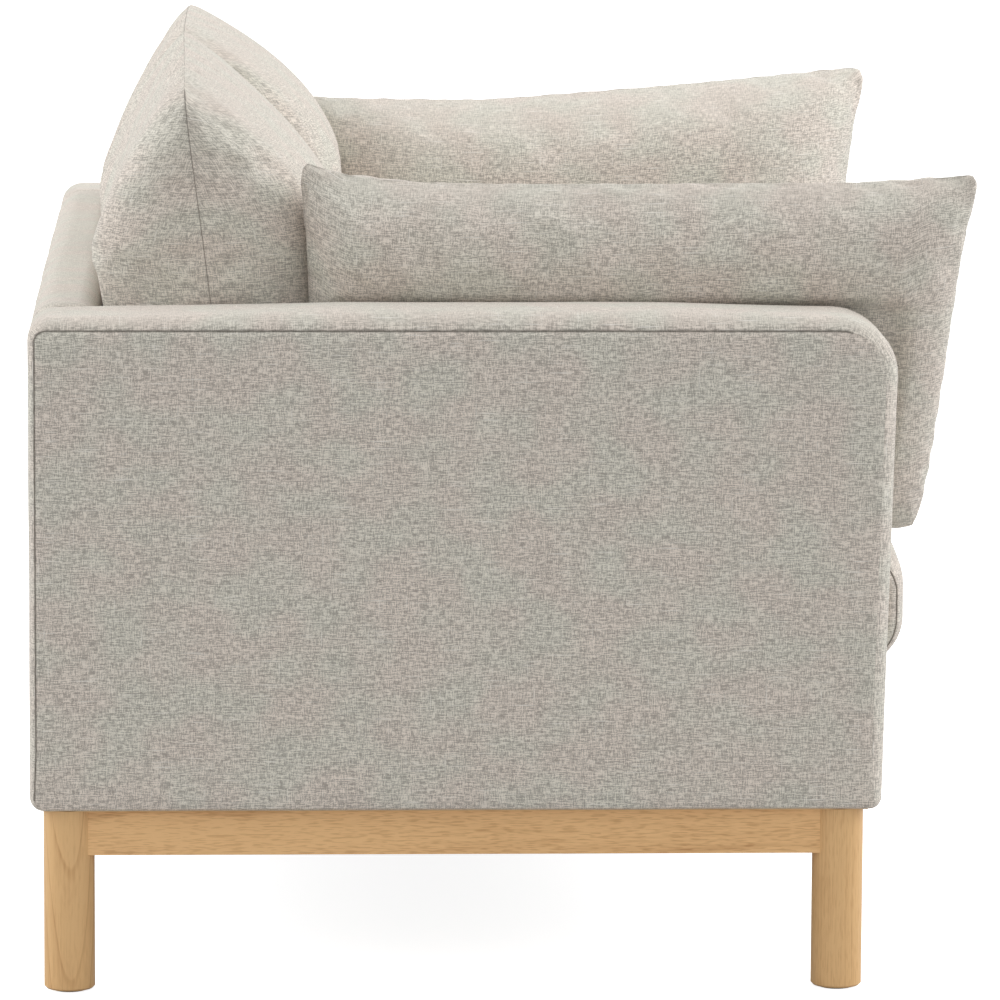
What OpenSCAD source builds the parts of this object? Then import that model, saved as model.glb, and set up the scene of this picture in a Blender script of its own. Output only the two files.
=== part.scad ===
// Two-seat sofa with round wooden legs and loose cushions, in millimetres.
// +X runs along the sofa, the front faces -Y and +Z is up. The origin is the centre of the footprint,
// on the floor. "Right" is the +X side and "left" the -X side, as a person facing the sofa sees them.

/* [Overall] */
// Width across the outer faces of the arms
overall_w = 1420; // [1380:10:1600]
// Depth of an arm, from its front face to its back face
arm_depth = 850; // [840:5:880]
// How far the ears of the arm pillows stand in front of the arms
pillow_reach = 85; // [80:1:90]
// Height of the tops of the arms and the back
arm_top = 670; // [664:2:680]
// Height of the underside of the upholstered body
body_z = 182; // [170:2:190]

/* [Arms and back] */
// Thickness of an arm
arm_w = 127; // [124:1:130]
// How far the foot of the arm's front face is set back from its top
arm_rake = 13; // [0:1:20]
// Radius of the arm's top front corner, seen from the side
arm_nose_r = 48; // [30:1:60]
// Thickness of the back at its top
back_top_t = 62; // [58:1:66]
// Thickness of the back at the seat
back_foot_t = 130; // [126:1:134]

/* [Base] */
// Diameter of a leg
leg_d = 50; // [44:1:54]
// Gap between a leg and the outer faces above it
leg_inset = 12; // [8:1:16]
// Height of a base rail
rail_h = 45; // [36:1:54]
// Thickness of a base rail, front to back or side to side
rail_t = 33; // [26:1:35]
// Thickness of the floor glides
glide_t = 2; // [2:0.5:4]

/* [Seat and cushions] */
// Height of the deck, where the seat cushions lie
deck_z = 300; // [296:1:304]
// Height of the top of a seat cushion
seat_z = 430; // [420:1:440]
// How far the seat cushions stand in front of the arms
seat_nose = 19; // [10:1:26]
// Height of the ears of the back cushions
ear_z = 885; // [870:1:900]
// Height of the ears of the arm pillows
pillow_z = 803; // [795:1:810]
// Number of seat springs
spring_count = 8; // [6:1:9]

/* [Materials] */
// Thickness of the upholstery fabric with its lining
cloth = 1.5; // [1.2:0.1:1.8]
// Thickness of the foam over the frames
foam = 12; // [10:1:14]
// Thickness of the plywood arm panels
ply = 9; // [9:1:12]
// Thickness of the seat frame's rails
board = 28; // [24:1:30]

/* [Hidden] */
$fn = 48;

// Planes of the body
x_out = overall_w / 2;
x_in = x_out - arm_w;
y_back = (arm_depth + pillow_reach) / 2;
y_front = y_back - arm_depth;
y_seat_back = y_back - back_foot_t;
border_foam = 10;
y_border = y_front + arm_rake + 3;
y_frame = y_border + cloth + border_foam;

// Base
leg_r = leg_d / 2;
leg_x = x_out - leg_inset - leg_r;
leg_y_back = y_back - leg_inset - leg_r - 1;
leg_y_front = y_front + arm_rake + leg_inset + leg_r + 4;
leg_chamfer = 2;
bolt_r = 4;
dowel_r = 4;
dowel_gap = 8;
dowel_end = 20;
dowel_z = [-12, 12];
hanger_down = 50;
hanger_up = 50;

// Frames
sill_h = 45;
rail_top = deck_z - 14;
layer = cloth + foam;
web_t = 1.5;
bolt_z = body_z + 22;
bolt_len = 78;
bolt_head = 5.3;
arm_bolt_y = [-250, 40, 290];
back_bolt_x = [-450, -150, 150, 450];

// Springs
wire = 3.7;
spring_w = 52;
spring_pitch = 30;
clip_t = 1.2;

// Cushions
gap = 1;
zip_gap = 6;
zip_h = 8;
zip_len = 460;
zip_end = 14;
back_slope = (back_foot_t - back_top_t) / (arm_top - deck_z);
back_lean = atan(back_slope);
back_zip_up = 55;
rest_z = seat_z + 0.5;
pillow_x = x_in - zip_gap;

// Outlines: each corner is [across, up, radius], anticlockwise and convex.
back_r = 20;
// The arms' and the back's outlines run down to a foot at any height.
function arm_corners(foot) = [
    [y_front + arm_rake * (arm_top - foot) / (arm_top - body_z), foot, 0], [y_back, foot, 0],
    [y_back, arm_top, back_r], [y_front, arm_top, arm_nose_r]
];
function back_corners(foot) = [
    [y_seat_back, foot, 0], [y_back, foot, 0], [y_back, arm_top, back_r],
    [y_back - back_top_t, arm_top, 18], [y_seat_back, deck_z, 0]
];
seat_corners = [
    [y_front - seat_nose, deck_z + gap, 45], [y_seat_back - zip_gap, deck_z + gap, 12],
    [y_seat_back - zip_gap, seat_z, 18], [y_front - seat_nose, seat_z, 60]
];
back_cushion_rear = y_seat_back - zip_gap - 0.3;
back_cushion_side = [
    [y_back - 272, rest_z, 45],
    [back_cushion_rear + back_slope * (rest_z - deck_z), rest_z, 25],
    [y_back - back_top_t - 2, arm_top + 26, 60], [y_back - back_top_t - 2, ear_z - 88, 60],
    [y_back - 153, ear_z + 4, 8], [y_back - 262, ear_z - 100, 80], [y_back - 307, ear_z - 245, 120]
];
back_cushion_plan = [
    [gap, y_back - 262, 30], [gap + 90, y_back - 307, 60], [x_in - gap - 90, y_back - 307, 60],
    [x_in - gap, y_back - 262, 30], [x_in - gap, y_back - 60, 20], [gap, y_back - 60, 20]
];
back_cushion_front = [
    [gap, rest_z, 40], [x_in - gap, rest_z, 40], [x_in - gap, ear_z, 22], [gap, ear_z, 22]
];
pillow_section = [
    [pillow_x - 130, rest_z, 45], [pillow_x, rest_z, 25], [pillow_x, pillow_z - 22, 30],
    [pillow_x - 13, pillow_z, 8], [pillow_x - 114, pillow_z - 107, 90], [pillow_x - 150, pillow_z - 257, 90]
];
pillow_side = [
    [y_front - 36, rest_z, 30], [y_back - 292, rest_z, 35],
    [y_back - 272, pillow_z + 3, 14], [y_front - pillow_reach - 3, pillow_z - 5, 12]
];
pillow_plan = [
    [pillow_x - 70, y_front - pillow_reach, 20], [pillow_x, y_front - pillow_reach, 6],
    [pillow_x, y_back - 273, 12], [pillow_x - 60, y_back - 305, 20], [pillow_x - 150, y_back - 420, 80],
    [pillow_x - 150, y_front + 50, 80]
];

// Geometry helpers
arc_step = 12;
function unit(v) = v / norm(v);
function cross2(a, b) = a.x * b.y - a.y * b.x;

// The points of one rounded corner b between its neighbours a and c, moved in by d.
function corner_arc(a, b, c, d) =
    let (p = [b.x, b.y], u = unit([a.x, a.y] - p), v = unit([c.x, c.y] - p))
    let (half = acos(u * v) / 2, inward = unit(u + v), q = p + inward * d / sin(half), r = max(b.z - d, 0))
    r < 0.05 ? [q] :
    let (centre = q + inward * r / sin(half), s = q + u * r / tan(half) - centre)
    let (e = q + v * r / tan(half) - centre, turn = atan2(cross2(s, e), s * e))
    let (n = ceil(abs(turn) / arc_step))
    [for (k = [0:n]) let (t = atan2(s.y, s.x) + turn * k / n) centre + r * [cos(t), sin(t)]];

function outline(corners, d = 0) =
    let (n = len(corners))
    [for (i = [0:n - 1]) each corner_arc(corners[(i + n - 1) % n], corners[i], corners[(i + 1) % n], d)];

// Prisms of an outline in (y, z) along X, in (x, y) along Z and in (x, z) along Y.
module along_x(points, x0, x1) {
    translate([x0, 0, 0]) rotate([90, 0, 90]) linear_extrude(x1 - x0) polygon(points);
}

module along_z(points, z0, z1) {
    translate([0, 0, z0]) linear_extrude(z1 - z0) polygon(points);
}

module along_y(points, y0, y1) {
    translate([0, y1, 0]) rotate([90, 0, 0]) linear_extrude(y1 - y0) polygon(points);
}

// A box given by its lowest and highest corners.
module block(low, high) {
    translate(low) cube(high - low);
}

// The part is drawn for the right side, and mirrored for the left.
module on_side(side) {
    if (side < 0) mirror([1, 0, 0]) children();
    else children();
}

module bar_x(r, x0, x1, y, z) {
    translate([x0, y, z]) rotate([0, 90, 0]) cylinder(r = r, h = x1 - x0);
}

module bar_y(r, y0, y1, x, z) {
    translate([x, y1, z]) rotate([90, 0, 0]) cylinder(r = r, h = y1 - y0);
}

// Base: legs, rails, dowels and bolts
module each_leg() {
    for (x = [-leg_x, leg_x], y = [leg_y_front, leg_y_back]) translate([x, y, 0]) children();
}

module leg_blank() {
    translate([0, 0, glide_t]) cylinder(r1 = leg_r - leg_chamfer, r2 = leg_r, h = leg_chamfer);
    translate([0, 0, glide_t + leg_chamfer]) cylinder(r = leg_r, h = body_z - glide_t - leg_chamfer);
}

// One dowel from near the leg's axis out into the rail, along +X of its own frame.
module dowel_pair() {
    for (dz = dowel_z)
        translate([dowel_gap, 0, body_z - rail_h / 2 + dz]) rotate([0, 90, 0])
            cylinder(r = dowel_r, h = leg_r - dowel_gap + dowel_end, $fn = 24);
}

// The two rails that meet at a leg run inwards along X and Y.
module leg_dowels(x, y) {
    translate([x, y, 0]) rotate([0, 0, x > 0 ? 180 : 0]) dowel_pair();
    translate([x, y, 0]) rotate([0, 0, y > 0 ? -90 : 90]) dowel_pair();
}

module rail_dowels() {
    color("burlywood")
        for (x = [-leg_x, leg_x], y = [leg_y_front, leg_y_back]) leg_dowels(x, y);
}

module hanger_bolt() {
    translate([0, 0, body_z - hanger_down]) cylinder(r = bolt_r, h = hanger_down + hanger_up);
}

module leg_hanger_bolts() {
    color("silver") each_leg() hanger_bolt();
}

module leg_tee_nuts() {
    color("silver") each_leg() difference() {
        union() {
            translate([0, 0, body_z + sill_h - 9]) cylinder(r = 5.5, h = 9);
            translate([0, 0, body_z + sill_h]) cylinder(r = 11, h = 1.5);
        }
        translate([0, 0, body_z]) cylinder(r = bolt_r, h = 2 * sill_h);
    }
}

module leg(x, y) {
    color("tan") difference() {
        translate([x, y, 0]) leg_blank();
        translate([x, y, 0]) hanger_bolt();
        leg_dowels(x, y);
    }
}

module leg_glides() {
    color("dimgray") each_leg() cylinder(r = leg_r - 8, h = glide_t);
}

// A rail's ends are coped to the round legs.
module base_rail_x(y) {
    color("tan") difference() {
        block([-leg_x, y - rail_t / 2, body_z - rail_h], [leg_x, y + rail_t / 2, body_z]);
        for (x = [-leg_x, leg_x]) {
            translate([x, y, 0]) cylinder(r = leg_r, h = body_z + 1);
            leg_dowels(x, y);
        }
    }
}

module base_rail_y(x) {
    color("tan") difference() {
        block([x - rail_t / 2, leg_y_front, body_z - rail_h], [x + rail_t / 2, leg_y_back, body_z]);
        for (y = [leg_y_front, leg_y_back]) {
            translate([x, y, 0]) cylinder(r = leg_r, h = body_z + 1);
            leg_dowels(x, y);
        }
    }
}

// Bolts that hold the arms and the back to the seat frame
module arm_bolt_axes(r, x0, x1) {
    for (y = arm_bolt_y) bar_x(r, x0, x1, y, bolt_z);
}

module back_bolt_axes(r, y0, y1) {
    for (x = back_bolt_x) bar_y(r, y0, y1, x, bolt_z);
}

module frame_bolts() {
    arm_head_x = x_in - board;
    back_head_y = y_seat_back - board;
    color("silver") {
        for (side = [-1, 1]) on_side(side) {
            arm_bolt_axes(bolt_r, arm_head_x, arm_head_x + bolt_len);
            for (y = arm_bolt_y)
                translate([arm_head_x - bolt_head, y, bolt_z]) rotate([0, 90, 0])
                    cylinder(r = 7.5, h = bolt_head, $fn = 6);
        }
        back_bolt_axes(bolt_r, back_head_y, back_head_y + bolt_len);
        for (x = back_bolt_x)
            translate([x, back_head_y, bolt_z]) rotate([90, 0, 0]) cylinder(r = 7.5, h = bolt_head, $fn = 6);
    }
}

// Seat frame
module seat_rail_x(y0, y1) {
    block([-x_in, y0, body_z], [x_in, y1, rail_top]);
}

module seat_rail_front() {
    color("peru") seat_rail_x(y_frame, y_frame + board);
}

module seat_rail_back() {
    color("peru") difference() {
        seat_rail_x(y_seat_back - board, y_seat_back);
        back_bolt_axes(bolt_r, y_seat_back - board - 1, y_seat_back + 1);
    }
}

module seat_rail_side(side) {
    color("peru") on_side(side) difference() {
        block([x_in - board, y_frame + board, body_z], [x_in, y_seat_back - board, rail_top]);
        arm_bolt_axes(bolt_r, x_in - board - 1, x_in + 1);
    }
}

module seat_centre_brace() {
    color("peru")
        block([-board / 2, y_frame + board, body_z], [board / 2, y_seat_back - board, body_z + 70]);
}

module corner_blocks() {
    size = 70;
    x = x_in - board;
    y0 = y_frame + board;
    y1 = y_seat_back - board;
    color("peru") for (side = [-1, 1]) on_side(side) {
        along_z([[x, y0], [x, y0 + size], [x - size, y0]], body_z + 40, rail_top - 10);
        along_z([[x, y1], [x - size, y1], [x, y1 - size]], body_z + 40, rail_top - 10);
    }
}

// One zig-zag spring: straight bars joined by half-round bends, drawn as its wire's two edges.
spring_y0 = y_frame + board / 2;
spring_y1 = y_seat_back - board / 2;
spring_bars = 2 * round((spring_y1 - spring_y0) / spring_pitch / 2) + 1;
spring_step = (spring_y1 - spring_y0) / (spring_bars - 1);
bend_steps = 4;
bend_r = spring_step / 2;
reach = spring_w / 2 - bend_r;

function spring_edge(off) = [
    [-reach * 0.6, -off],
    for (i = [0:spring_bars - 2]) let (s = i % 2 == 0 ? 1 : -1)
        for (k = [0:bend_steps]) let (a = -90 + 180 * k / bend_steps, r = bend_r + s * off)
            [s * (reach + r * cos(a)), (i + 0.5) * spring_step + r * sin(a)],
    [reach * 0.6, (spring_bars - 1) * spring_step - off]
];

function reversed(list) = [for (i = [len(list) - 1:-1:0]) list[i]];

function spring_x(i) = (i / (spring_count - 1) - 0.5) * (2 * (x_in - board) - 90);

module seat_springs() {
    color("gray") for (i = [0:spring_count - 1])
        translate([spring_x(i), spring_y0, 0])
            along_z(concat(spring_edge(wire / 2), reversed(spring_edge(-wire / 2))),
                rail_top + clip_t, rail_top + clip_t + wire);
}

// A folded steel clip over the end bar of a spring, open towards the seat.
module spring_clip(open) {
    difference() {
        block([-9, -9, rail_top], [9, 9, rail_top + 2 * clip_t + wire]);
        translate([0, open * 5.1, 0])
            block([-10, -8, rail_top + clip_t], [10, 8, rail_top + clip_t + wire]);
    }
}

module spring_clips() {
    color("silver") for (i = [0:spring_count - 1]) {
        translate([spring_x(i), spring_y0, 0]) spring_clip(1);
        translate([spring_x(i), spring_y1, 0]) spring_clip(-1);
    }
}

module deck_pad() {
    color("whitesmoke")
        block([-x_in, y_frame, rail_top + 2 * clip_t + wire], [x_in, y_seat_back, deck_z - cloth]);
}

module deck_cloth() {
    color("lightgray") block([-x_in, y_frame, deck_z - cloth], [x_in, y_seat_back, deck_z]);
}

module dust_cover() {
    color("black")
        block([-x_in, leg_y_front + rail_t / 2 + 4, body_z - 1], [x_in, leg_y_back - rail_t / 2 - 4, body_z]);
}

module front_border_pad() {
    color("whitesmoke") block([-x_in, y_border + cloth, body_z], [x_in, y_frame, deck_z - cloth]);
}

module front_border_cover() {
    color("lightgray") difference() {
        block([-x_in, y_border, body_z], [x_in, y_frame, deck_z]);
        block([-x_in - 1, y_border + cloth, body_z - 1], [x_in + 1, y_frame + 1, deck_z - cloth]);
    }
}

// Arms: plywood panels on a softwood frame, foam, and a fabric cover open underneath.
// A layer is set in by d from the outer faces; a cavity is the same, run on below the foot.
module arm_layer(d, x0, x1) {
    along_x(outline(arm_corners(body_z - d), d), x0, x1);
}

module arm_cavity(d, x0, x1) {
    along_x(outline(arm_corners(body_z - d - 1), d), x0, x1);
}

module arm_bolt_holes() {
    arm_bolt_axes(bolt_r, x_in - 1, x_in - board + bolt_len);
}

module arm_cover(side) {
    color("lightgray") on_side(side) difference() {
        arm_layer(0, x_in, x_out);
        arm_cavity(cloth, x_in + cloth, x_out - cloth);
        arm_bolt_axes(bolt_r, x_in - 1, x_in + cloth + 1);
    }
}

module arm_padding(side) {
    color("whitesmoke") on_side(side) {
        arm_layer(cloth, x_out - layer, x_out - cloth);
        difference() {
            arm_layer(cloth, x_in + cloth, x_in + layer);
            arm_bolt_holes();
        }
        difference() {
            arm_layer(cloth, x_in + layer, x_out - layer);
            arm_cavity(layer, x_in, x_out);
        }
    }
}

module arm_frame(side) {
    core_0 = x_in + layer + ply;
    core_1 = x_out - layer - ply;
    y0 = y_front + arm_rake + layer;
    y1 = y_back - layer;
    post = 45;
    mid = (y0 + y1) / 2;
    z0 = body_z + sill_h;
    z1 = arm_top - layer - post;
    color("burlywood") on_side(side) {
        arm_layer(layer, core_1, x_out - layer);
        difference() {
            arm_layer(layer, x_in + layer, core_0);
            arm_bolt_holes();
        }
        difference() {
            intersection() {
                arm_layer(layer, core_0, core_1);
                block([core_0, y_front, body_z], [core_1, y_back, z0]);
            }
            arm_bolt_holes();
            for (y = [leg_y_front, leg_y_back]) translate([leg_x, y, 0]) {
                hanger_bolt();
                translate([0, 0, z0 - 9]) cylinder(r = 5.5, h = 10);
            }
        }
        intersection() {
            arm_layer(layer, core_0, core_1);
            block([core_0, y_front, z1], [core_1, y_back, arm_top]);
        }
        for (y = [[y_front, y0 + post], [mid - post / 2, mid + post / 2], [y1 - post, y_back]])
            intersection() {
                arm_layer(layer, core_0, core_1);
                difference() {
                    block([core_0, y[0], z0], [core_1, y[1], z1]);
                    for (leg_y = [leg_y_front, leg_y_back])
                        translate([leg_x, leg_y, z0 - 1]) cylinder(r = 12, h = 9);
                }
            }
    }
}

// Back: softwood frame with webbing, foam, and a fabric cover open underneath and at its ends
module back_layer(d, x0, x1) {
    along_x(outline(back_corners(body_z - d), d), x0, x1);
}

module back_cavity(d) {
    along_x(outline(back_corners(body_z - d - 1), d), -x_in - 1, x_in + 1);
}

module back_cover() {
    color("lightgray") difference() {
        back_layer(0, -x_in, x_in);
        back_cavity(cloth);
        back_bolt_axes(bolt_r, y_seat_back - 1, y_seat_back + cloth + 1);
    }
}

module back_padding() {
    color("whitesmoke") difference() {
        back_layer(cloth, -x_in, x_in);
        back_cavity(layer);
        back_bolt_axes(bolt_r, y_seat_back, y_seat_back + layer + 1);
    }
}

module back_frame() {
    post = 30;
    beam = 45;
    inner = layer + web_t;
    z0 = body_z + sill_h;
    z1 = arm_top - inner - beam;
    span = (2 * x_in - post) / 3;
    color("burlywood") {
        difference() {
            intersection() {
                back_layer(inner, -x_in, x_in);
                block([-x_in, y_seat_back, body_z], [x_in, y_back, z0]);
            }
            back_bolt_axes(bolt_r, y_seat_back, y_seat_back - board + bolt_len);
        }
        intersection() {
            back_layer(inner, -x_in, x_in);
            block([-x_in, y_seat_back, z1], [x_in, y_back, arm_top]);
        }
        for (i = [0:3]) intersection() {
            back_layer(inner, -x_in + i * span, -x_in + i * span + post);
            block([-x_in, y_seat_back, z0], [x_in, y_back, z1]);
        }
    }
}

// Webbing straps run up the sloping front of the frame, between the posts.
module back_webbing() {
    z0 = deck_z + 20;
    z1 = arm_top - 50;
    y0 = y_seat_back + back_slope * (z0 - deck_z) + layer / cos(back_lean);
    y1 = y_seat_back + back_slope * (z1 - deck_z) + layer / cos(back_lean);
    t = web_t / cos(back_lean);
    color("dimgray") for (x = [-480, -290, -95, 95, 290, 480])
        along_x([[y0, z0], [y0 + t, z0], [y1 + t, z1], [y1, z1]], x - 25, x + 25);
}

// Zips: drawn with their outer face on the plane y = 0, and placed by these three modules.
module on_seat_zip() {
    translate([x_in / 2, y_seat_back - zip_gap, (deck_z + seat_z) / 2]) children();
}

module on_back_zip() {
    z = rest_z + back_zip_up;
    y = back_cushion_rear + back_slope * (z - deck_z);
    translate([x_in / 2, y, z]) rotate([-back_lean, 0, 0]) children();
}

module on_pillow_zip() {
    translate([pillow_x, (y_front + y_back) / 2 - 150, rest_z + 50]) rotate([0, 0, -90]) children();
}

module zip_slot() {
    block([-zip_len / 2, -cloth - 1, -zip_h / 2], [zip_len / 2, 1, zip_h / 2]);
}

// Tape with the raised row of teeth along its middle.
module zip_tape() {
    block([-zip_len / 2, -cloth, -zip_h / 2], [zip_len / 2, 0, zip_h / 2]);
    block([-zip_len / 2, -0.1, -1.5], [zip_len / 2, 1, 1.5]);
}

// Slider at the closed end of the zip, with its pull tab hanging from a small lug.
module zip_slider() {
    translate([zip_len / 2 - zip_end, 0, 0]) {
        difference() {
            block([-6, 0.3, -4], [6, 3, 4]);
            block([-7, 0, -1.9], [7, 1.4, 1.9]);
        }
        difference() {
            block([-2, 3, -18], [2, 4.2, 3]);
            translate([0, 0, -14]) rotate([-90, 0, 0]) cylinder(r = 1.1, h = 10, $fn = 24);
        }
    }
}

module zip(side) {
    color("dimgray") on_side(side) children();
}

// Cushions: each is a fill inside a fabric cover with a slot for its zip
module seat_cushion_solid(d) {
    along_x(outline(seat_corners, d), gap + d, x_in - gap - d);
}

module back_cushion_solid(d) {
    intersection() {
        along_x(outline(back_cushion_side, d), 0, x_in);
        along_z(outline(back_cushion_plan, d), rest_z, ear_z + 20);
        along_y(outline(back_cushion_front, d), y_front, y_back);
    }
}

module arm_pillow_solid(d) {
    intersection() {
        along_y(outline(pillow_section, d), y_front - 2 * pillow_reach, y_back);
        along_x(outline(pillow_side, d), 0, x_out);
        along_z(outline(pillow_plan, d), rest_z, ear_z);
    }
}

module seat_cushion_core(side) {
    color("khaki") on_side(side) seat_cushion_solid(cloth);
}

module seat_cushion_cover(side) {
    color("lightgray") on_side(side) difference() {
        seat_cushion_solid(0);
        seat_cushion_solid(cloth);
        on_seat_zip() zip_slot();
    }
}

module back_cushion_fill(side) {
    color("white") on_side(side) back_cushion_solid(cloth);
}

module back_cushion_cover(side) {
    color("lightgray") on_side(side) difference() {
        back_cushion_solid(0);
        back_cushion_solid(cloth);
        on_back_zip() zip_slot();
    }
}

module arm_pillow_fill(side) {
    color("white") on_side(side) arm_pillow_solid(cloth);
}

module arm_pillow_cover(side) {
    color("lightgray") on_side(side) difference() {
        arm_pillow_solid(0);
        arm_pillow_solid(cloth);
        on_pillow_zip() zip_slot();
    }
}

leg(-leg_x, leg_y_front);  // leg_front_left
leg(leg_x, leg_y_front);  // leg_front_right
leg(-leg_x, leg_y_back);  // leg_back_left
leg(leg_x, leg_y_back);  // leg_back_right
leg_glides();
base_rail_x(leg_y_front);  // base_rail_front
base_rail_x(leg_y_back);  // base_rail_back
base_rail_y(-leg_x);  // base_rail_left
base_rail_y(leg_x);  // base_rail_right
rail_dowels();
leg_hanger_bolts();
leg_tee_nuts();
seat_rail_front();
seat_rail_back();
seat_rail_side(-1);  // seat_rail_left
seat_rail_side(1);  // seat_rail_right
seat_centre_brace();
corner_blocks();
seat_springs();
spring_clips();
deck_pad();
deck_cloth();
dust_cover();
front_border_pad();
front_border_cover();
arm_frame(-1);  // arm_frame_left
arm_frame(1);  // arm_frame_right
arm_padding(-1);  // arm_padding_left
arm_padding(1);  // arm_padding_right
arm_cover(-1);  // arm_cover_left
arm_cover(1);  // arm_cover_right
frame_bolts();
back_frame();
back_webbing();
back_padding();
back_cover();
seat_cushion_core(-1);  // seat_cushion_core_left
seat_cushion_core(1);  // seat_cushion_core_right
seat_cushion_cover(-1);  // seat_cushion_cover_left
seat_cushion_cover(1);  // seat_cushion_cover_right
back_cushion_fill(-1);  // back_cushion_fill_left
back_cushion_fill(1);  // back_cushion_fill_right
back_cushion_cover(-1);  // back_cushion_cover_left
back_cushion_cover(1);  // back_cushion_cover_right
arm_pillow_fill(-1);  // arm_pillow_fill_left
arm_pillow_fill(1);  // arm_pillow_fill_right
arm_pillow_cover(-1);  // arm_pillow_cover_left
arm_pillow_cover(1);  // arm_pillow_cover_right
zip(-1) on_seat_zip() zip_tape();  // seat_cushion_zip_left
zip(1) on_seat_zip() zip_tape();  // seat_cushion_zip_right
zip(-1) on_back_zip() zip_tape();  // back_cushion_zip_left
zip(1) on_back_zip() zip_tape();  // back_cushion_zip_right
zip(-1) on_pillow_zip() zip_tape();  // arm_pillow_zip_left
zip(1) on_pillow_zip() zip_tape();  // arm_pillow_zip_right
zip(-1) on_seat_zip() zip_slider();  // seat_zip_slider_left
zip(1) on_seat_zip() zip_slider();  // seat_zip_slider_right
zip(-1) on_back_zip() zip_slider();  // back_zip_slider_left
zip(1) on_back_zip() zip_slider();  // back_zip_slider_right
zip(-1) on_pillow_zip() zip_slider();  // pillow_zip_slider_left
zip(1) on_pillow_zip() zip_slider();  // pillow_zip_slider_right
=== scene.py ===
# A two-seat sofa with round wooden legs: upholstery, timber and cushions.
# It is laid out as an add-on and run as a script.
import math

import bmesh
import bpy
import numpy as np
from bpy.props import FloatProperty, FloatVectorProperty, PointerProperty
from mathutils import Matrix, Vector


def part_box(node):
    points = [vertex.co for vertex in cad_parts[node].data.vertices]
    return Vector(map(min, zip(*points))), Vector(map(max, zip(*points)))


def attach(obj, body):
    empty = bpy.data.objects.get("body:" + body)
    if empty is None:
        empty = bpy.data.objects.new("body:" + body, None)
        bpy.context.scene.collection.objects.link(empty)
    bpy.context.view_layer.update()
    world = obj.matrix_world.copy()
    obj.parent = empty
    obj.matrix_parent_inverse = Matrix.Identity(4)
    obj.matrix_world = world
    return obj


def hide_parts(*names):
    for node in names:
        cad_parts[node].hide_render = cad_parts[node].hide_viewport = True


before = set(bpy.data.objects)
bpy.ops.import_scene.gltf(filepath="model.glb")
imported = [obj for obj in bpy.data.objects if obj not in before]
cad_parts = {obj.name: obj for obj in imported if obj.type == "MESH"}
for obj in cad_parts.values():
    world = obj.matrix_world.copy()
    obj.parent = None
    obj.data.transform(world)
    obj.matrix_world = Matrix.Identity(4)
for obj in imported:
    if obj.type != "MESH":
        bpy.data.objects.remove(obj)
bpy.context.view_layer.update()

bl_info = {
    "name": "Two-seat sofa",
    "version": (1, 0, 0),
    "blender": (4, 5, 0),
    "location": "View3D > Sidebar > Sofa",
    "description": "Builds the upholstery and finishes of a two-seat sofa around its frame",
    "category": "Add Mesh",
}

SIDES = {"left": -1, "right": 1}

# Places that the frame gives, in metres
ARM_LOW, ARM_HIGH = (np.array(corner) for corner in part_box("arm_cover_right"))
BACK_LOW, BACK_HIGH = (np.array(corner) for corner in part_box("back_cover"))
SEAT_LOW, SEAT_HIGH = (np.array(corner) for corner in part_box("seat_cushion_cover_right"))
BORDER_LOW, BORDER_HIGH = (np.array(corner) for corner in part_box("front_border_cover"))
X_OUT, X_IN = ARM_HIGH[0], ARM_LOW[0]
Y_FRONT, Y_BACK = ARM_LOW[1], ARM_HIGH[1]
FIXED_LOW, FIXED_HIGH = 0.0004 - X_IN, X_IN - 0.0004
BODY_Z, ARM_TOP = ARM_LOW[2], ARM_HIGH[2]
BACK_FOOT = BACK_HIGH[1] - BACK_LOW[1]
BACK_TOP = 0.062
DECK_Z = SEAT_LOW[2] - 0.001
SEAT_TOP = SEAT_HIGH[2]
BACK_SLOPE = (BACK_FOOT - BACK_TOP) / (ARM_TOP - DECK_Z)

# Meshing of the covers, in metres: distances from a seam, the spacing away from it, and what counts as none
STRIP_STEPS = (0, 0.0004, 0.001, 0.002, 0.0035, 0.006, 0.009, 0.013, 0.018, 0.025, 0.034, 0.045, 0.056)
PANEL_STEPS = (0, 0.0004, 0.001, 0.002, 0.0035, 0.006, 0.010, 0.016, 0.025)
STRIP_SPACING = 0.022
SAME_POINT = 1e-6
NO_LENGTH = 1e-7
HAIR = 3e-5

# Small shapes in sewn cloth, in metres
FOLD_WIDTH = 0.0013
STRIP_RIPPLE = 0.00018
PANEL_RIPPLE = 0.00022
SEWN_WITHIN = 0.0006
SETTLING_STEPS = 20


# ---------------------------------------------------------------- settings


def number(name, description, default, **more):
    """A plain number among the settings."""
    return FloatProperty(name=name, description=description, default=default, **more)


def length(name, description, default):
    """A length in metres among the settings."""
    return number(name, description, default, unit="LENGTH")


def colour(name, description, default):
    """A colour among the settings."""
    return FloatVectorProperty(name=name, description=description, default=default, subtype="COLOR")


class SofaShape(bpy.types.PropertyGroup):
    """Fullness and seams of the upholstery."""

    arm_crown: length("Arm crown", "Rise of an arm's top above its frame", 0.006)
    arm_seam_drop: length("Arm seam drop", "How far the panel seam lies below the arm's top", 0.012)
    seam_depth: length("Seam depth", "Depth of the fold at a sewn seam", 0.0013)
    seat_crown: length("Seat crown", "Rise of the middle of a seat cushion", 0.010)
    back_fullness: length("Back fullness", "Front half thickness of a back cushion", 0.152)
    pillow_fullness: length("Pillow fullness", "Inner half thickness of an arm pillow", 0.100)
    cover_gap: length("Cover gap", "Distance between a cover and the filling in it", 0.003)
    rail_easing: length("Rail easing", "Radius of the eased edges of the wood", 0.0015)


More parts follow.
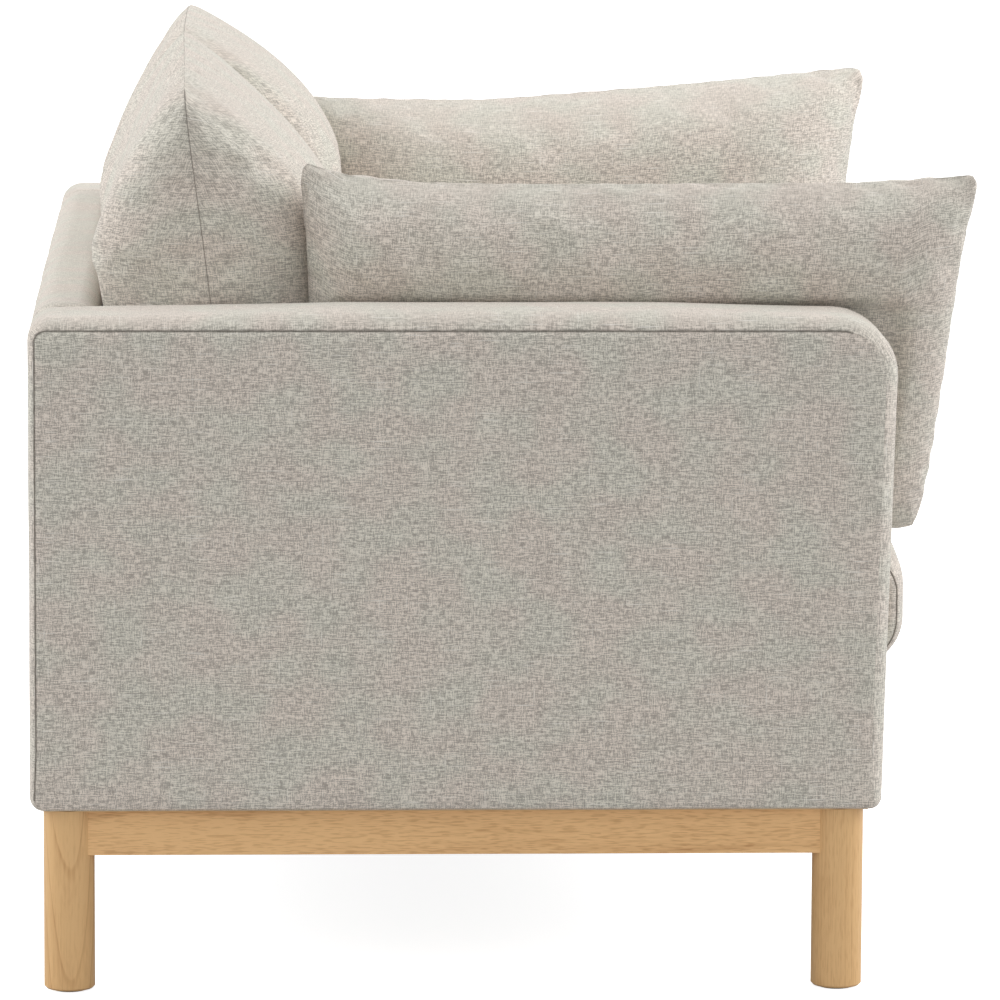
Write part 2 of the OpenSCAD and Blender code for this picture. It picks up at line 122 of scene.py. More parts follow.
class SofaColours(bpy.types.PropertyGroup):
    """Colours of the fabric and the wood."""

    linen: colour("Linen", "Mean colour of the linen", (0.56, 0.523, 0.470))
    linen_thread: colour("Slub thread", "Colour of the thick pale threads", (0.84, 0.81, 0.75))
    leg_wood: colour("Leg wood", "Pale colour of the legs", (0.77, 0.485, 0.222))
    rail_wood: colour("Rail wood", "Pale colour of the base rails", (0.87, 0.54, 0.25))
    ring_wood: colour("Growth rings", "Dark colour of the growth rings", (0.50, 0.25, 0.09))
    seam_shadow: colour("Seam shadow", "Colour down in a seam", (0.14, 0.12, 0.10))


class SofaStage(bpy.types.PropertyGroup):
    """Camera and light."""

    lens: number("Lens", "Focal length in millimetres", 232.4)
    distance: length("Distance", "From the near arm to the camera", 6.211)
    height: length("Height", "Camera height", 1.391)
    forward: length("Forward", "Camera's place in front of the sofa's back", 0.192)
    pitch: number("Pitch", "Downward tilt in degrees", 8.23)
    yaw: number("Yaw", "Turn towards the sofa's front in degrees", 2.46)
    roll: number("Roll", "Roll in degrees", 0.29)
    surround: number("Surround", "Strength of the even light", 0.84)
    floor_bounce: number("Floor bounce", "How much light the floor throws back", 0.55)
    overhead: number("Overhead", "Power of the overhead light", 8.0)
    sides: number("Sides", "Power of the lights before and behind the sofa", 68.0)


# ---------------------------------------------------------------- surfaces


def unit(v):
    """Rows of v scaled to length one."""
    return v / np.linalg.norm(v, axis=-1, keepdims=True)


def rounded_loop(corners, step=0.012, turn_step=0.15):
    """A closed outline with round corners.

    corners are (across, up, radius), anticlockwise. At each corner a circle of that radius touches both
    edges; the outline follows the circle between the two touching points, and straight lines between
    the circles. Returns points, outward normals and running length, with the first point repeated at
    the end.
    """
    place = np.array([c[:2] for c in corners])
    radius = np.array([c[2] for c in corners])
    to_last, to_next = unit(np.roll(place, 1, 0) - place), unit(np.roll(place, -1, 0) - place)
    half = np.arccos(np.sum(to_last * to_next, 1)) / 2
    centre = place + unit(to_last + to_next) * (radius / np.sin(half))[:, None]
    start = place + to_last * (radius / np.tan(half))[:, None]
    end = place + to_next * (radius / np.tan(half))[:, None]
    points, normals = [], []
    for i in range(len(corners)):
        a, b = start[i] - centre[i], end[i] - centre[i]
        turn = math.atan2(a[0] * b[1] - a[1] * b[0], a @ b)
        angles = math.atan2(a[1], a[0]) + np.linspace(0, turn, max(3, math.ceil(abs(turn) / turn_step) + 1))
        spoke = np.stack([np.cos(angles), np.sin(angles)], 1)
        points.append(centre[i] + radius[i] * spoke)
        normals.append(spoke)
        j = (i + 1) % len(corners)
        count = max(1, math.ceil(np.linalg.norm(start[j] - end[i]) / step))
        t = np.linspace(0, 1, count + 1)[1:-1, None]
        edge = unit(start[j] - end[i])
        points.append(end[i] * (1 - t) + start[j] * t)
        normals.append(np.repeat([[edge[1], -edge[0]]], len(t), 0))
    points, normals = np.concatenate(points), np.concatenate(normals)
    points, normals = np.concatenate([points, points[:1]]), np.concatenate([normals, normals[:1]])
    run = np.concatenate([[0], np.cumsum(np.linalg.norm(np.diff(points, axis=0), axis=1))])
    return points, normals, run


def rise(distance, reach, power=2.0, root=0.5):
    """How full a padded face is at a distance from its edge: 0 at the edge and 1 from reach on, as (1 -
    (1 - distance / reach) ^ power) ^ root. A root of one half gives a round edge, and of one a sharp
    one."""
    t = np.clip(distance / reach, 0, 1)
    return (1 - (1 - t) ** power) ** root


def soft_min(a, b, blend=0.008):
    """The smaller of a and b with a rounded change-over of width blend."""
    apart = a - b
    return 0.5 * (a + b - np.sqrt(apart**2 + blend**2)) + 0.25 * blend * np.exp(-((apart / blend) ** 2))


def ripple(y, z, phase, size):
    """Faint unevenness of stuffed fabric: three crossed sine waves of 90 to 260 mm."""
    long_wave = np.sin(24 * y + 9 * z + phase)
    middle_wave = 0.7 * np.sin(-17 * y + 31 * z + 2.3 * phase)
    short_wave = 0.5 * np.sin(52 * y - 39 * z + phase)
    return size * (long_wave + middle_wave + short_wave)


def running_length(points, axis):
    """Distance along a grid's rows, or along its columns, from its first line."""
    steps = np.linalg.norm(np.diff(points, axis=axis), axis=2)
    return np.insert(np.cumsum(steps, axis), 0, 0.0, axis)


def arc_lengths(points):
    """Distance along a grid's rows and columns from its middle, which is how flat cloth lies on it."""
    along, across = running_length(points, 0), running_length(points, 1)
    row, column = points.shape[0] // 2, points.shape[1] // 2
    return np.stack([along - along[row], across - across[:, [column]]], 2)


def cushion_grid(count):
    """Two numbers from -1 to 1 over a grid of count by count points, which lie closer near the seams."""
    spread = np.sin(np.linspace(-1, 1, count) * np.pi / 2)
    return np.meshgrid(spread, spread, indexing="ij")


def tag_points(mesh, name, values):
    """Stores a number at each vertex, for the materials to read."""
    tag = mesh.attributes.new(name, "FLOAT", "POINT")
    tag.data.foreach_set("value", values.astype(np.float32))


def make_piece(name, patches, material, body, replaced):
    """Joins grid patches into one closed mesh that stands for one CAD node, and hangs it on a body.

    Each patch is (points, cloth coordinates, distance to the nearest seam) on a grid. Every square of a
    grid is a face. The grids' shared borders are merged, and the faces are turned outwards. The
    vertices keep the seam's distance and how far they face up, from 0 to 1.
    """
    places, cloths, seams, faces, base = [], [], [], [], 0
    for points, cloth, seam in patches:
        rows, columns = points.shape[:2]
        index = base + np.arange(rows * columns).reshape(rows, columns)
        corners = [index[:-1, :-1], index[1:, :-1], index[1:, 1:], index[:-1, 1:]]
        faces.append(np.stack(corners, 2).reshape(-1, 4))
        places.append(points.reshape(-1, 3))
        cloths.append(cloth.reshape(-1, 2))
        seams.append(np.broadcast_to(seam, (rows, columns)).reshape(-1))
        base += rows * columns
    places, faces = np.concatenate(places), np.concatenate(faces)
    mesh = bpy.data.meshes.new(name)
    mesh.from_pydata(places.tolist(), [], faces.tolist())
    layer = mesh.uv_layers.new(name="cloth")
    layer.data.foreach_set("uv", np.concatenate(cloths)[faces.reshape(-1)].astype(np.float32).reshape(-1))
    tag_points(mesh, "seam", np.concatenate(seams))
    work = bmesh.new()
    work.from_mesh(mesh)
    bmesh.ops.remove_doubles(work, verts=work.verts, dist=SAME_POINT)
    bmesh.ops.dissolve_degenerate(work, edges=work.edges, dist=NO_LENGTH)
    bmesh.ops.recalc_face_normals(work, faces=work.faces)
    if work.calc_volume(signed=True) < 0:
        bmesh.ops.reverse_faces(work, faces=work.faces)
    work.to_mesh(mesh)
    work.free()
    facing = np.empty(3 * len(mesh.vertices), np.float32)
    mesh.vertex_normals.foreach_get("vector", facing)
    tag_points(mesh, "facing_up", np.clip(facing[2::3], 0, 1))
    mesh.polygons.foreach_set("use_smooth", np.ones(len(mesh.polygons), bool))
    mesh.update()
    piece = bpy.data.objects.new(name, mesh)
    bpy.context.collection.objects.link(piece)
    piece.data.materials.append(material)
    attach(piece, body)
    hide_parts(replaced)
    return piece


def boxed_cover(loop, low, high, edge_in, crown, reach, sink, seam_shown, seam_depth, hollow, phase):
    """A padded box: two flat panels sewn to a strip that runs round an outline.

    The strip's surface is the outline moved in along its normal by edge_in at either seam and out by
    crown midway. From the seam it rises over a width of reach, with a root of 0.8. The panels are rings
    inside the outline: each side moves in by the same distance, and near the centre they close up with
    the sixth power of that distance. They lie sink inside low and high at the seam. The fold at a seam
    is a narrow bell of seam_depth. hollow moves the whole surface in, for the filling under a cover.
    seam_shown is 1 where a seam shows, per outline point.
    """
    points, normals, run = loop
    width = high - low
    near = np.array(STRIP_STEPS)
    near = near[near < width / 2 - 0.004]
    count = max(3, int((width - 2 * near[-1]) / STRIP_SPACING))
    inner = np.linspace(near[-1], width - near[-1], count)[1:-1]
    across = np.concatenate([near, inner, width - near[::-1]])
    from_seam = np.minimum(across, width - across)[:, None]
    hidden = 1.0 - seam_shown
    fold = seam_depth * np.exp(-((from_seam / FOLD_WIDTH) ** 2)) * seam_shown
    dome = (1 - (2 * across / width - 1) ** 2)[:, None] ** 0.8
    inset = edge_in * (1 - rise(from_seam, reach, 2.0, 0.8)) - crown * dome + fold + hollow
    uneven = ripple(across[:, None] + points[:, 0], points[:, 1], phase, STRIP_RIPPLE)
    inset = inset + uneven * rise(from_seam, 0.03)
    edges = points - normals * inset[..., None]
    x = low + sink + across * (width - 2 * sink) / width
    x = x + hollow * (1 - 2 * across / width)
    strip = np.concatenate([np.broadcast_to(x[:, None, None], edges.shape[:2] + (1,)), edges], 2)
    strip_cloth = np.stack(np.broadcast_arrays(run[None, :], across[:, None]), 2)
    patches = [(strip, strip_cloth, from_seam + hidden)]
    centre = (points.max(0) + points.min(0)) / 2
    half = (points.max(0) - points.min(0)) / 2
    steps = np.array(PANEL_STEPS)
    steps = steps[steps < 0.6 * half.min()]
    steps = np.concatenate([steps, np.linspace(steps[-1], half.min(), 3 + int(half.min() / 0.02))[1:]])
    scale = (1 - steps[:, None] / half) * (1 - (steps[:, None] / half.min()) ** 6)
    full = np.exp(-((steps / 0.0045) ** 1.2))[:, None]
    for row, plane, outward in ((0, low, -1), (-1, high, 1)):
        ring = centre + (edges[row] - centre) * scale[:, None, :]
        panel_fold = seam_depth * np.exp(-((steps[:, None] / FOLD_WIDTH) ** 2)) * seam_shown * (full < 0.999)
        lift = ripple(ring[..., 0], ring[..., 1], phase + outward, PANEL_RIPPLE) * (1 - full)
        lift = lift - sink * full - panel_fold
        panel_x = plane + outward * (lift - hollow)
        panel = np.concatenate([panel_x[..., None], ring], 2)
        patches.append((panel, ring, steps[:, None] + hidden))
    return patches


def knife_panels(a, b, seam_c, front, rear, order, seam_width=1.0):
    """Two faces of a knife-edged cushion, sewn together all round.

    a and b are places along and up the cushion on a grid, seam_c is where the seam's surface lies
    through its thickness, and front and rear are how far each face stands off it, 0 all round. order
    puts (a, b, c) into x, y and z. A seam_width above 1 draws the dark line of painted seam shade
    narrower. The cloth coordinates are the lengths along the surface, so that the weave turns over the
    edge with it. Away from the seam a face always stands off it by a hair, so that the two faces never touch.
    """
    edges_along = [np.abs(a - a[e]) for e in (0, -1)]
    edges_up = [np.abs(b - b[:, [e]]) for e in (0, -1)]
    nearest = np.minimum.reduce(edges_along + edges_up)
    inside = np.zeros(a.shape)
    inside[1:-1, 1:-1] = 1
    patches = []
    for face, sign in ((front, -1), (rear, 1)):
        face = np.maximum(face, HAIR) * inside
        points = np.stack([a, b, seam_c + sign * face], 2)[..., order]
        from_seam = np.hypot(nearest, face)
        patches.append((points, arc_lengths(points), from_seam * seam_width))
    return patches


def gathers(along, up, reach, size):
    """Small folds that fan out from the two upper corners of a cushion.

    For each corner they are a sine of the angle round it, which grows with the distance and dies away
    at reach.
    """
    folds = 0
    for corner in (-1, 1):
        da = np.abs(along - (along[-1:] if corner > 0 else along[:1]))
        db = np.abs(up[:, -1:] - up)
        r, angle = np.hypot(da, db), np.arctan2(da, db + 1e-9)
        folds = folds + np.sin(17 * angle + corner) * (r / 0.03) * np.exp(-((r / (0.45 * reach)) ** 1.4))
    return size * folds


def puckers(run, distance, phase, size):
    """The slight fullness beside a sewn seam: a wave of about 34 mm along it, which dies away in 25 mm."""
    wave = np.sin(2 * math.pi * run / 0.034 + 1.7 * np.sin(23 * run + phase))
    return size * wave * np.exp(-distance / 0.016)


def creases(along, up, ends, above, nearest, phases, reach, size):
    """Gathers at the upper corners and puckers beside the seams of the ends and the top, 0 at a seam."""
    folds = gathers(along, up, reach, size)
    folds = folds + puckers(up, ends, phases[0], size) + puckers(along, above, phases[1], size)
    return folds * rise(nearest, 0.02)


def stuffed(face, hollow):
    """How far a face stands off its seam: never less than 0, and 7% less for a filling than for its
    cover."""
    return np.maximum(face, 0) * (0.93 if hollow else 1)


def settle(piece, held_at, most=0.0035):
    """Lets a cover settle under its filling's pressure, as a cloth simulation of twenty steps.

    The cloth is cut 2% too wide, so that it gathers a little along the sewn edges. Those are held, and
    so are the points that held_at marks from their places. No point ends further than most from where
    the surface put it. A subdivision smooths the settled cloth.
    """
    mesh = piece.data
    start, seam = np.empty(3 * len(mesh.vertices)), np.empty(len(mesh.vertices), np.float32)
    mesh.vertices.foreach_get("co", start)
    mesh.attributes["seam"].data.foreach_get("value", seam)
    start = start.reshape(-1, 3)
    held = np.flatnonzero((seam < SEWN_WITHIN) | held_at(start))
    piece.vertex_groups.new(name="sewn").add(held.tolist(), 1.0, "REPLACE")
    cloth = piece.modifiers.new("settling", "CLOTH")
    settings = cloth.settings
    settings.vertex_group_mass = "sewn"
    settings.quality = 4
    settings.mass = 0.25
    settings.tension_stiffness = settings.compression_stiffness = 25
    settings.shear_stiffness, settings.bending_stiffness = 8, 0.3
    settings.use_pressure, settings.uniform_pressure_force = True, 4
    settings.shrink_min = settings.shrink_max = -0.02
    settings.effector_weights.gravity = 0
    cloth.point_cache.frame_start, cloth.point_cache.frame_end = 1, SETTLING_STEPS
    for step in range(1, SETTLING_STEPS + 1):
        bpy.context.scene.frame_set(step)
    settled = piece.evaluated_get(bpy.context.evaluated_depsgraph_get()).to_mesh()
    end = np.empty(3 * len(mesh.vertices))
    settled.vertices.foreach_get("co", end)
    piece.modifiers.remove(cloth)
    bpy.context.scene.frame_set(1)
    move = end.reshape(-1, 3) - start
    far = np.maximum(np.linalg.norm(move, axis=1, keepdims=True), 1e-9)
    move = move * np.minimum(1, most / far)
    mesh.vertices.foreach_set("co", (start + move).ravel())
    mesh.update()
    smooth = piece.modifiers.new("smooth", "SUBSURF")
    smooth.levels = smooth.render_levels = 1


# ---------------------------------------------------------------- node groups and materials


def new_group(name, colours, values):
    """An empty shader node group, with a place, some colours and some values with their usual amounts as inputs.

    Its outputs are a colour, a height and a roughness. Returns the group, its wiring, its inputs and its outputs.
    """
    group = bpy.data.node_groups.new(name, "ShaderNodeTree")
    group.interface.new_socket("Place", in_out="INPUT", socket_type="NodeSocketVector")
    for label in colours:
        group.interface.new_socket(label, in_out="INPUT", socket_type="NodeSocketColor")
    for label, usual in values.items():
        socket = group.interface.new_socket(label, in_out="INPUT", socket_type="NodeSocketFloat")
        socket.default_value = usual
    group.interface.new_socket("Colour", in_out="OUTPUT", socket_type="NodeSocketColor")
    for label in ("Height", "Roughness"):
        group.interface.new_socket(label, in_out="OUTPUT", socket_type="NodeSocketFloat")
    w = Wiring(group)
    return group, w, w.node("NodeGroupInput").outputs, w.node("NodeGroupOutput").inputs


class Wiring:
    """Short ways to add nodes to one tree and to join them."""

    def __init__(self, tree):
        self.nodes, self.links = tree.nodes, tree.links

    def join(self, source, target):
        if isinstance(source, bpy.types.NodeSocket):
            self.links.new(source, target)
        else:
            target.default_value = source

    def node(self, kind, **settings):
        node = self.nodes.new(kind)
        for key, value in settings.items():
            setattr(node, key, value)
        return node

    def maths(self, operation, *values):
        node = self.node("ShaderNodeMath", operation=operation)
        for socket, value in zip(node.inputs, values):
            self.join(value, socket)
        return node.outputs[0]

    def add(self, a, b):
        return self.maths("ADD", a, b)

    def minus(self, a, b):
        return self.maths("SUBTRACT", a, b)

    def times(self, a, b):
        return self.maths("MULTIPLY", a, b)

    def scaled(self, vector, by):
        node = self.node("ShaderNodeVectorMath", operation="MULTIPLY")
        self.join(vector, node.inputs[0])
        self.join(by, node.inputs[1])
        return node.outputs[0]

    def noise(self, vector, scale=1.0, detail=2.0, roughness=0.5):
        node = self.node("ShaderNodeTexNoise")
        self.join(vector, node.inputs["Vector"])
        node.inputs["Scale"].default_value = scale
        node.inputs["Detail"].default_value = detail
        node.inputs["Roughness"].default_value = roughness
        return node.outputs["Fac"]

    def ramp(self, value, low, high, to_low=0.0, to_high=1.0):
        node = self.node("ShaderNodeMapRange", interpolation_type="SMOOTHSTEP")
        for key, entry in (("Value", value), ("From Min", low), ("From Max", high)):
            self.join(entry, node.inputs[key])
        node.inputs["To Min"].default_value = to_low
        node.inputs["To Max"].default_value = to_high
        return node.outputs[0]

    def mix(self, factor, a, b, blend="MIX"):
        node = self.node("ShaderNodeMix", data_type="RGBA", blend_type=blend)
        self.join(factor, node.inputs[0])
        self.join(a, node.inputs[6])
        self.join(b, node.inputs[7])
        return node.outputs[2]


# How fine the noises of the woven cloth are, per metre along each axis
WEFT, WARP, GRAIN = (115, 930, 115), (930, 135, 930), (860, 900, 860)
LONG_WEFT, LONG_WARP = (16, 330, 16), (330, 22, 330)
SLUB_WEFT, SLUB_WARP = (28, 760, 28), (760, 32, 760)
TONE_PATCHES = (15, 19, 15)

# The same for sawn wood, whose grain runs along z
GRAIN_SWAY, RING_STRENGTH, GRAIN_CLOUDS = (9, 9, 3.2), (60, 60, 2.0), (14, 14, 5)
FIBRES, PORES = (430, 430, 17), (760, 760, 75)


def weave_group():
    """Woven cloth: uneven threads both ways, pale slubs, faint patches of tone and a dark line of painted
    shade at a seam."""
    group, w, into, out = new_group(
        "woven_cloth", ("Cloth", "Slub", "Seam colour"), {"Contrast": 1.0, "Slubs": 1.0, "Seam distance": 1.0}
    )
    place = into["Place"]
    weft = w.noise(w.scaled(place, WEFT), 1.0, 1, 0.5)
    warp = w.noise(w.scaled(place, WARP), 1.0, 1, 0.5)
    grain = w.noise(w.scaled(place, GRAIN), 1.0, 0, 0.5)
    threads = w.add(w.times(weft, 0.56), w.times(warp, 0.44))
    tone = w.times(w.minus(threads, 0.5), into["Contrast"])
    speck = w.times(w.minus(grain, 0.5), into["Contrast"])
    long_weft = w.noise(w.scaled(place, LONG_WEFT), 1.0, 1, 0.5)
    long_warp = w.noise(w.scaled(place, LONG_WARP), 1.0, 1, 0.5)
    streaks = w.add(w.times(long_weft, 0.6), w.times(long_warp, 0.4))
    streaks = w.times(w.minus(streaks, 0.5), into["Contrast"])
    shade = w.add(w.times(tone, 3.3), w.times(speck, 0.9))
    shade = w.add(shade, w.times(streaks, 0.75))
    shade = w.ramp(shade, -0.45, 0.45, 0.65, 1.35)
    patch = w.noise(w.scaled(place, TONE_PATCHES), 1.0, 1, 0.5)
    warm = w.mix(w.ramp(patch, 0.35, 0.68), (1.025, 0.985, 0.97, 1), (0.985, 1.01, 0.985, 1))
    base = w.mix(1.0, into["Cloth"], warm, "MULTIPLY")
    shaded = w.node("ShaderNodeCombineColor")
    for socket in shaded.inputs:
        w.join(shade, socket)
    base = w.mix(1.0, base, shaded.outputs[0], "MULTIPLY")
    slub_weft = w.ramp(w.noise(w.scaled(place, SLUB_WEFT), 1.0, 0, 0.4), 0.72, 0.80)
    slub_warp = w.ramp(w.noise(w.scaled(place, SLUB_WARP), 1.0, 0, 0.4), 0.75, 0.83)
    slub = w.maths("MAXIMUM", slub_weft, w.times(slub_warp, 0.8))
    slub = w.times(slub, into["Slubs"])
    base = w.mix(w.times(slub, 0.6), base, into["Slub"])
    # Painted shade: the dark line down in a seam, broken up by the grain
    seam = w.ramp(into["Seam distance"], 0.0001, 0.0009, 1.0, 0.0)
    painted_seam_shade = w.times(seam, w.ramp(grain, 0.3, 0.6, 0.45, 0.8))
    w.join(w.mix(painted_seam_shade, base, into["Seam colour"]), out["Colour"])
    height = w.add(w.add(threads, w.times(grain, 0.4)), w.times(slub, 0.5))
    w.join(w.minus(height, seam), out["Height"])
    w.join(w.ramp(threads, 0.3, 0.7, 0.97, 0.84), out["Roughness"])
    return group


def wood_group():
    """Sawn wood: growth rings round an axis, with fibres and short pores along the grain."""
    group, w, into, out = new_group(
        "sawn_wood", ("Pale", "Dark"), {"Ring width": 0.007, "Rings": 1.0, "Pores": 1.0}
    )
    place = into["Place"]
    axes = w.node("ShaderNodeSeparateXYZ")
    w.join(place, axes.inputs[0])
    sway = w.times(w.minus(w.noise(w.scaled(place, GRAIN_SWAY), 1.0, 2), 0.5), 0.014)
    out_x = w.add(axes.outputs[0], sway)
    radius = w.add(w.maths("POWER", out_x, 2.0), w.maths("POWER", axes.outputs[1], 2.0))
    radius = w.maths("SQRT", radius)
    turns = w.maths("FRACT", w.maths("DIVIDE", radius, into["Ring width"]))
    late = w.add(w.ramp(turns, 0.30, 0.95, 0.0, 0.35), w.ramp(turns, 0.84, 0.94, 0.0, 0.65))
    late = w.times(late, w.ramp(turns, 0.95, 1.0, 1.0, 0.0))
    strength = w.noise(w.scaled(place, RING_STRENGTH), 1.0, 1)
    rings = w.times(w.times(late, w.ramp(strength, 0.25, 0.75, 0.35, 1.0)), into["Rings"])
    fibre = w.noise(w.scaled(place, FIBRES), 1.0, 3, 0.6)
    pores = w.ramp(w.noise(w.scaled(place, PORES), 1.0, 1, 0.4), 0.47, 0.68)
    pores = w.times(pores, into["Pores"])
    cloud = w.noise(w.scaled(place, GRAIN_CLOUDS), 1.0, 2)
    dark = w.add(w.times(rings, 0.75), w.times(w.minus(fibre, 0.5), 0.85))
    dark = w.add(dark, w.times(w.minus(cloud, 0.5), 0.55))
    dark = w.add(dark, w.times(pores, 0.42))
    dark = w.maths("MINIMUM", w.maths("MAXIMUM", dark, 0.0), 1.0)
    w.join(w.mix(dark, into["Pale"], into["Dark"]), out["Colour"])
    hollows = w.add(pores, w.times(rings, 0.2))
    w.join(w.minus(w.times(fibre, 0.3), hollows), out["Height"])
    w.join(w.ramp(dark, 0.0, 0.8, 0.42, 0.58), out["Roughness"])
    return group


def cell_group():
    """Foam or wadding: cells of a given size with darker pits, painted shade in their hollows, and slow patches
    of tone.
    """
    group, w, into, out = new_group("open_cells", ("Pale", "Pit"), {"Size": 0.002})
    shrink = w.node("ShaderNodeVectorMath", operation="SCALE")
    w.join(into["Place"], shrink.inputs[0])
    w.join(w.maths("DIVIDE", 1.0, into["Size"]), shrink.inputs["Scale"])
    cells = w.node("ShaderNodeTexVoronoi")
    cells.inputs["Scale"].default_value = 1.0
    w.join(shrink.outputs[0], cells.inputs["Vector"])
    slow = w.noise(into["Place"], 18.0, 3)
    # The darker Pit colour in the low places of the cells is painted shade
    pit = w.ramp(cells.outputs["Distance"], 0.15, 0.6)
    tone = w.add(w.times(pit, 0.5), w.times(slow, 0.35))
    w.join(w.mix(tone, into["Pale"], into["Pit"]), out["Colour"])
    w.join(w.minus(1.0, pit), out["Height"])
    w.join(w.ramp(slow, 0.3, 0.7, 0.85, 0.98), out["Roughness"])
    return group


def metal_group():
    """Drawn or plated metal: fine lines, a mottled plating and dull spots."""
    group, w, into, out = new_group("worked_metal", ("Bright", "Dull"), {"Polish": 0.3})
    lines = w.noise(w.scaled(into["Place"], (900, 900, 60)), 1.0, 2)
    mottle = w.noise(into["Place"], 160.0, 4, 0.6)
    tone = w.add(w.times(lines, 0.4), w.times(mottle, 0.6))
    w.join(w.mix(w.ramp(tone, 0.35, 0.65), into["Bright"], into["Dull"]), out["Colour"])
    w.join(lines, out["Height"])
    w.join(w.add(into["Polish"], w.times(tone, 0.25)), out["Roughness"])
    return group


GROUP_MAKERS = {"weave": weave_group, "wood": wood_group, "cells": cell_group, "metal": metal_group}
GROUPS = {}
MATERIALS = {}


def group_of(kind):
    """The node group of that kind, built once."""
    if kind not in GROUPS:
        GROUPS[kind] = GROUP_MAKERS[kind]()
    return GROUPS[kind]


def finish(
    name, kind, bump, values, sheen=0.0, metallic=0.0, coat=0.0, cloth_map=False, place=None, turn=None
):
    """A material: one node group drives colour, roughness and bump of a Principled shader.

    The pattern lies on the piece's own cloth coordinates, or on Object coordinates moved by place and
    turned by turn.
    """
    material = bpy.data.materials.new(name)
    material.use_nodes = True
    tree = material.node_tree
    tree.nodes.clear()
    w = Wiring(tree)
    shader, end = w.node("ShaderNodeBsdfPrincipled"), w.node("ShaderNodeOutputMaterial")
    w.join(shader.outputs[0], end.inputs[0])
    if cloth_map:
        vector = w.node("ShaderNodeUVMap", uv_map="cloth").outputs[0]
    else:
        vector = w.node("ShaderNodeTexCoord").outputs["Object"]
    if place:
        mapping = w.node("ShaderNodeMapping")
        mapping.inputs["Location"].default_value = place
        mapping.inputs["Rotation"].default_value = turn
        w.join(vector, mapping.inputs["Vector"])
        vector = mapping.outputs[0]
    effect = w.node("ShaderNodeGroup", node_tree=group_of(kind))
    w.join(vector, effect.inputs["Place"])
    for label, value in values.items():
        effect.inputs[label].default_value = (*value, 1) if isinstance(value, tuple) else value
    if cloth_map:
        seam = w.node("ShaderNodeAttribute", attribute_name="seam").outputs["Fac"]
        w.join(seam, effect.inputs["Seam distance"])
        # Painted light: the weave's contrast drops on faces that look up, for the even tone of the lit tops
        facing = w.node("ShaderNodeAttribute", attribute_name="facing_up").outputs["Fac"]
        w.join(w.ramp(facing, 0.25, 0.85, 1.1, 0.45), effect.inputs["Contrast"])
    w.join(effect.outputs["Colour"], shader.inputs["Base Color"])
    w.join(effect.outputs["Roughness"], shader.inputs["Roughness"])
    shader.inputs["Metallic"].default_value = metallic
    shader.inputs["Sheen Weight"].default_value = sheen
    shader.inputs["Sheen Roughness"].default_value = 0.6
    shader.inputs["Coat Weight"].default_value = coat
    relief = w.node("ShaderNodeBump")
    relief.inputs["Strength"].default_value = 0.6
    relief.inputs["Distance"].default_value = bump
    w.join(effect.outputs["Height"], relief.inputs["Height"])
    w.join(relief.outputs[0], shader.inputs["Normal"])
    return material


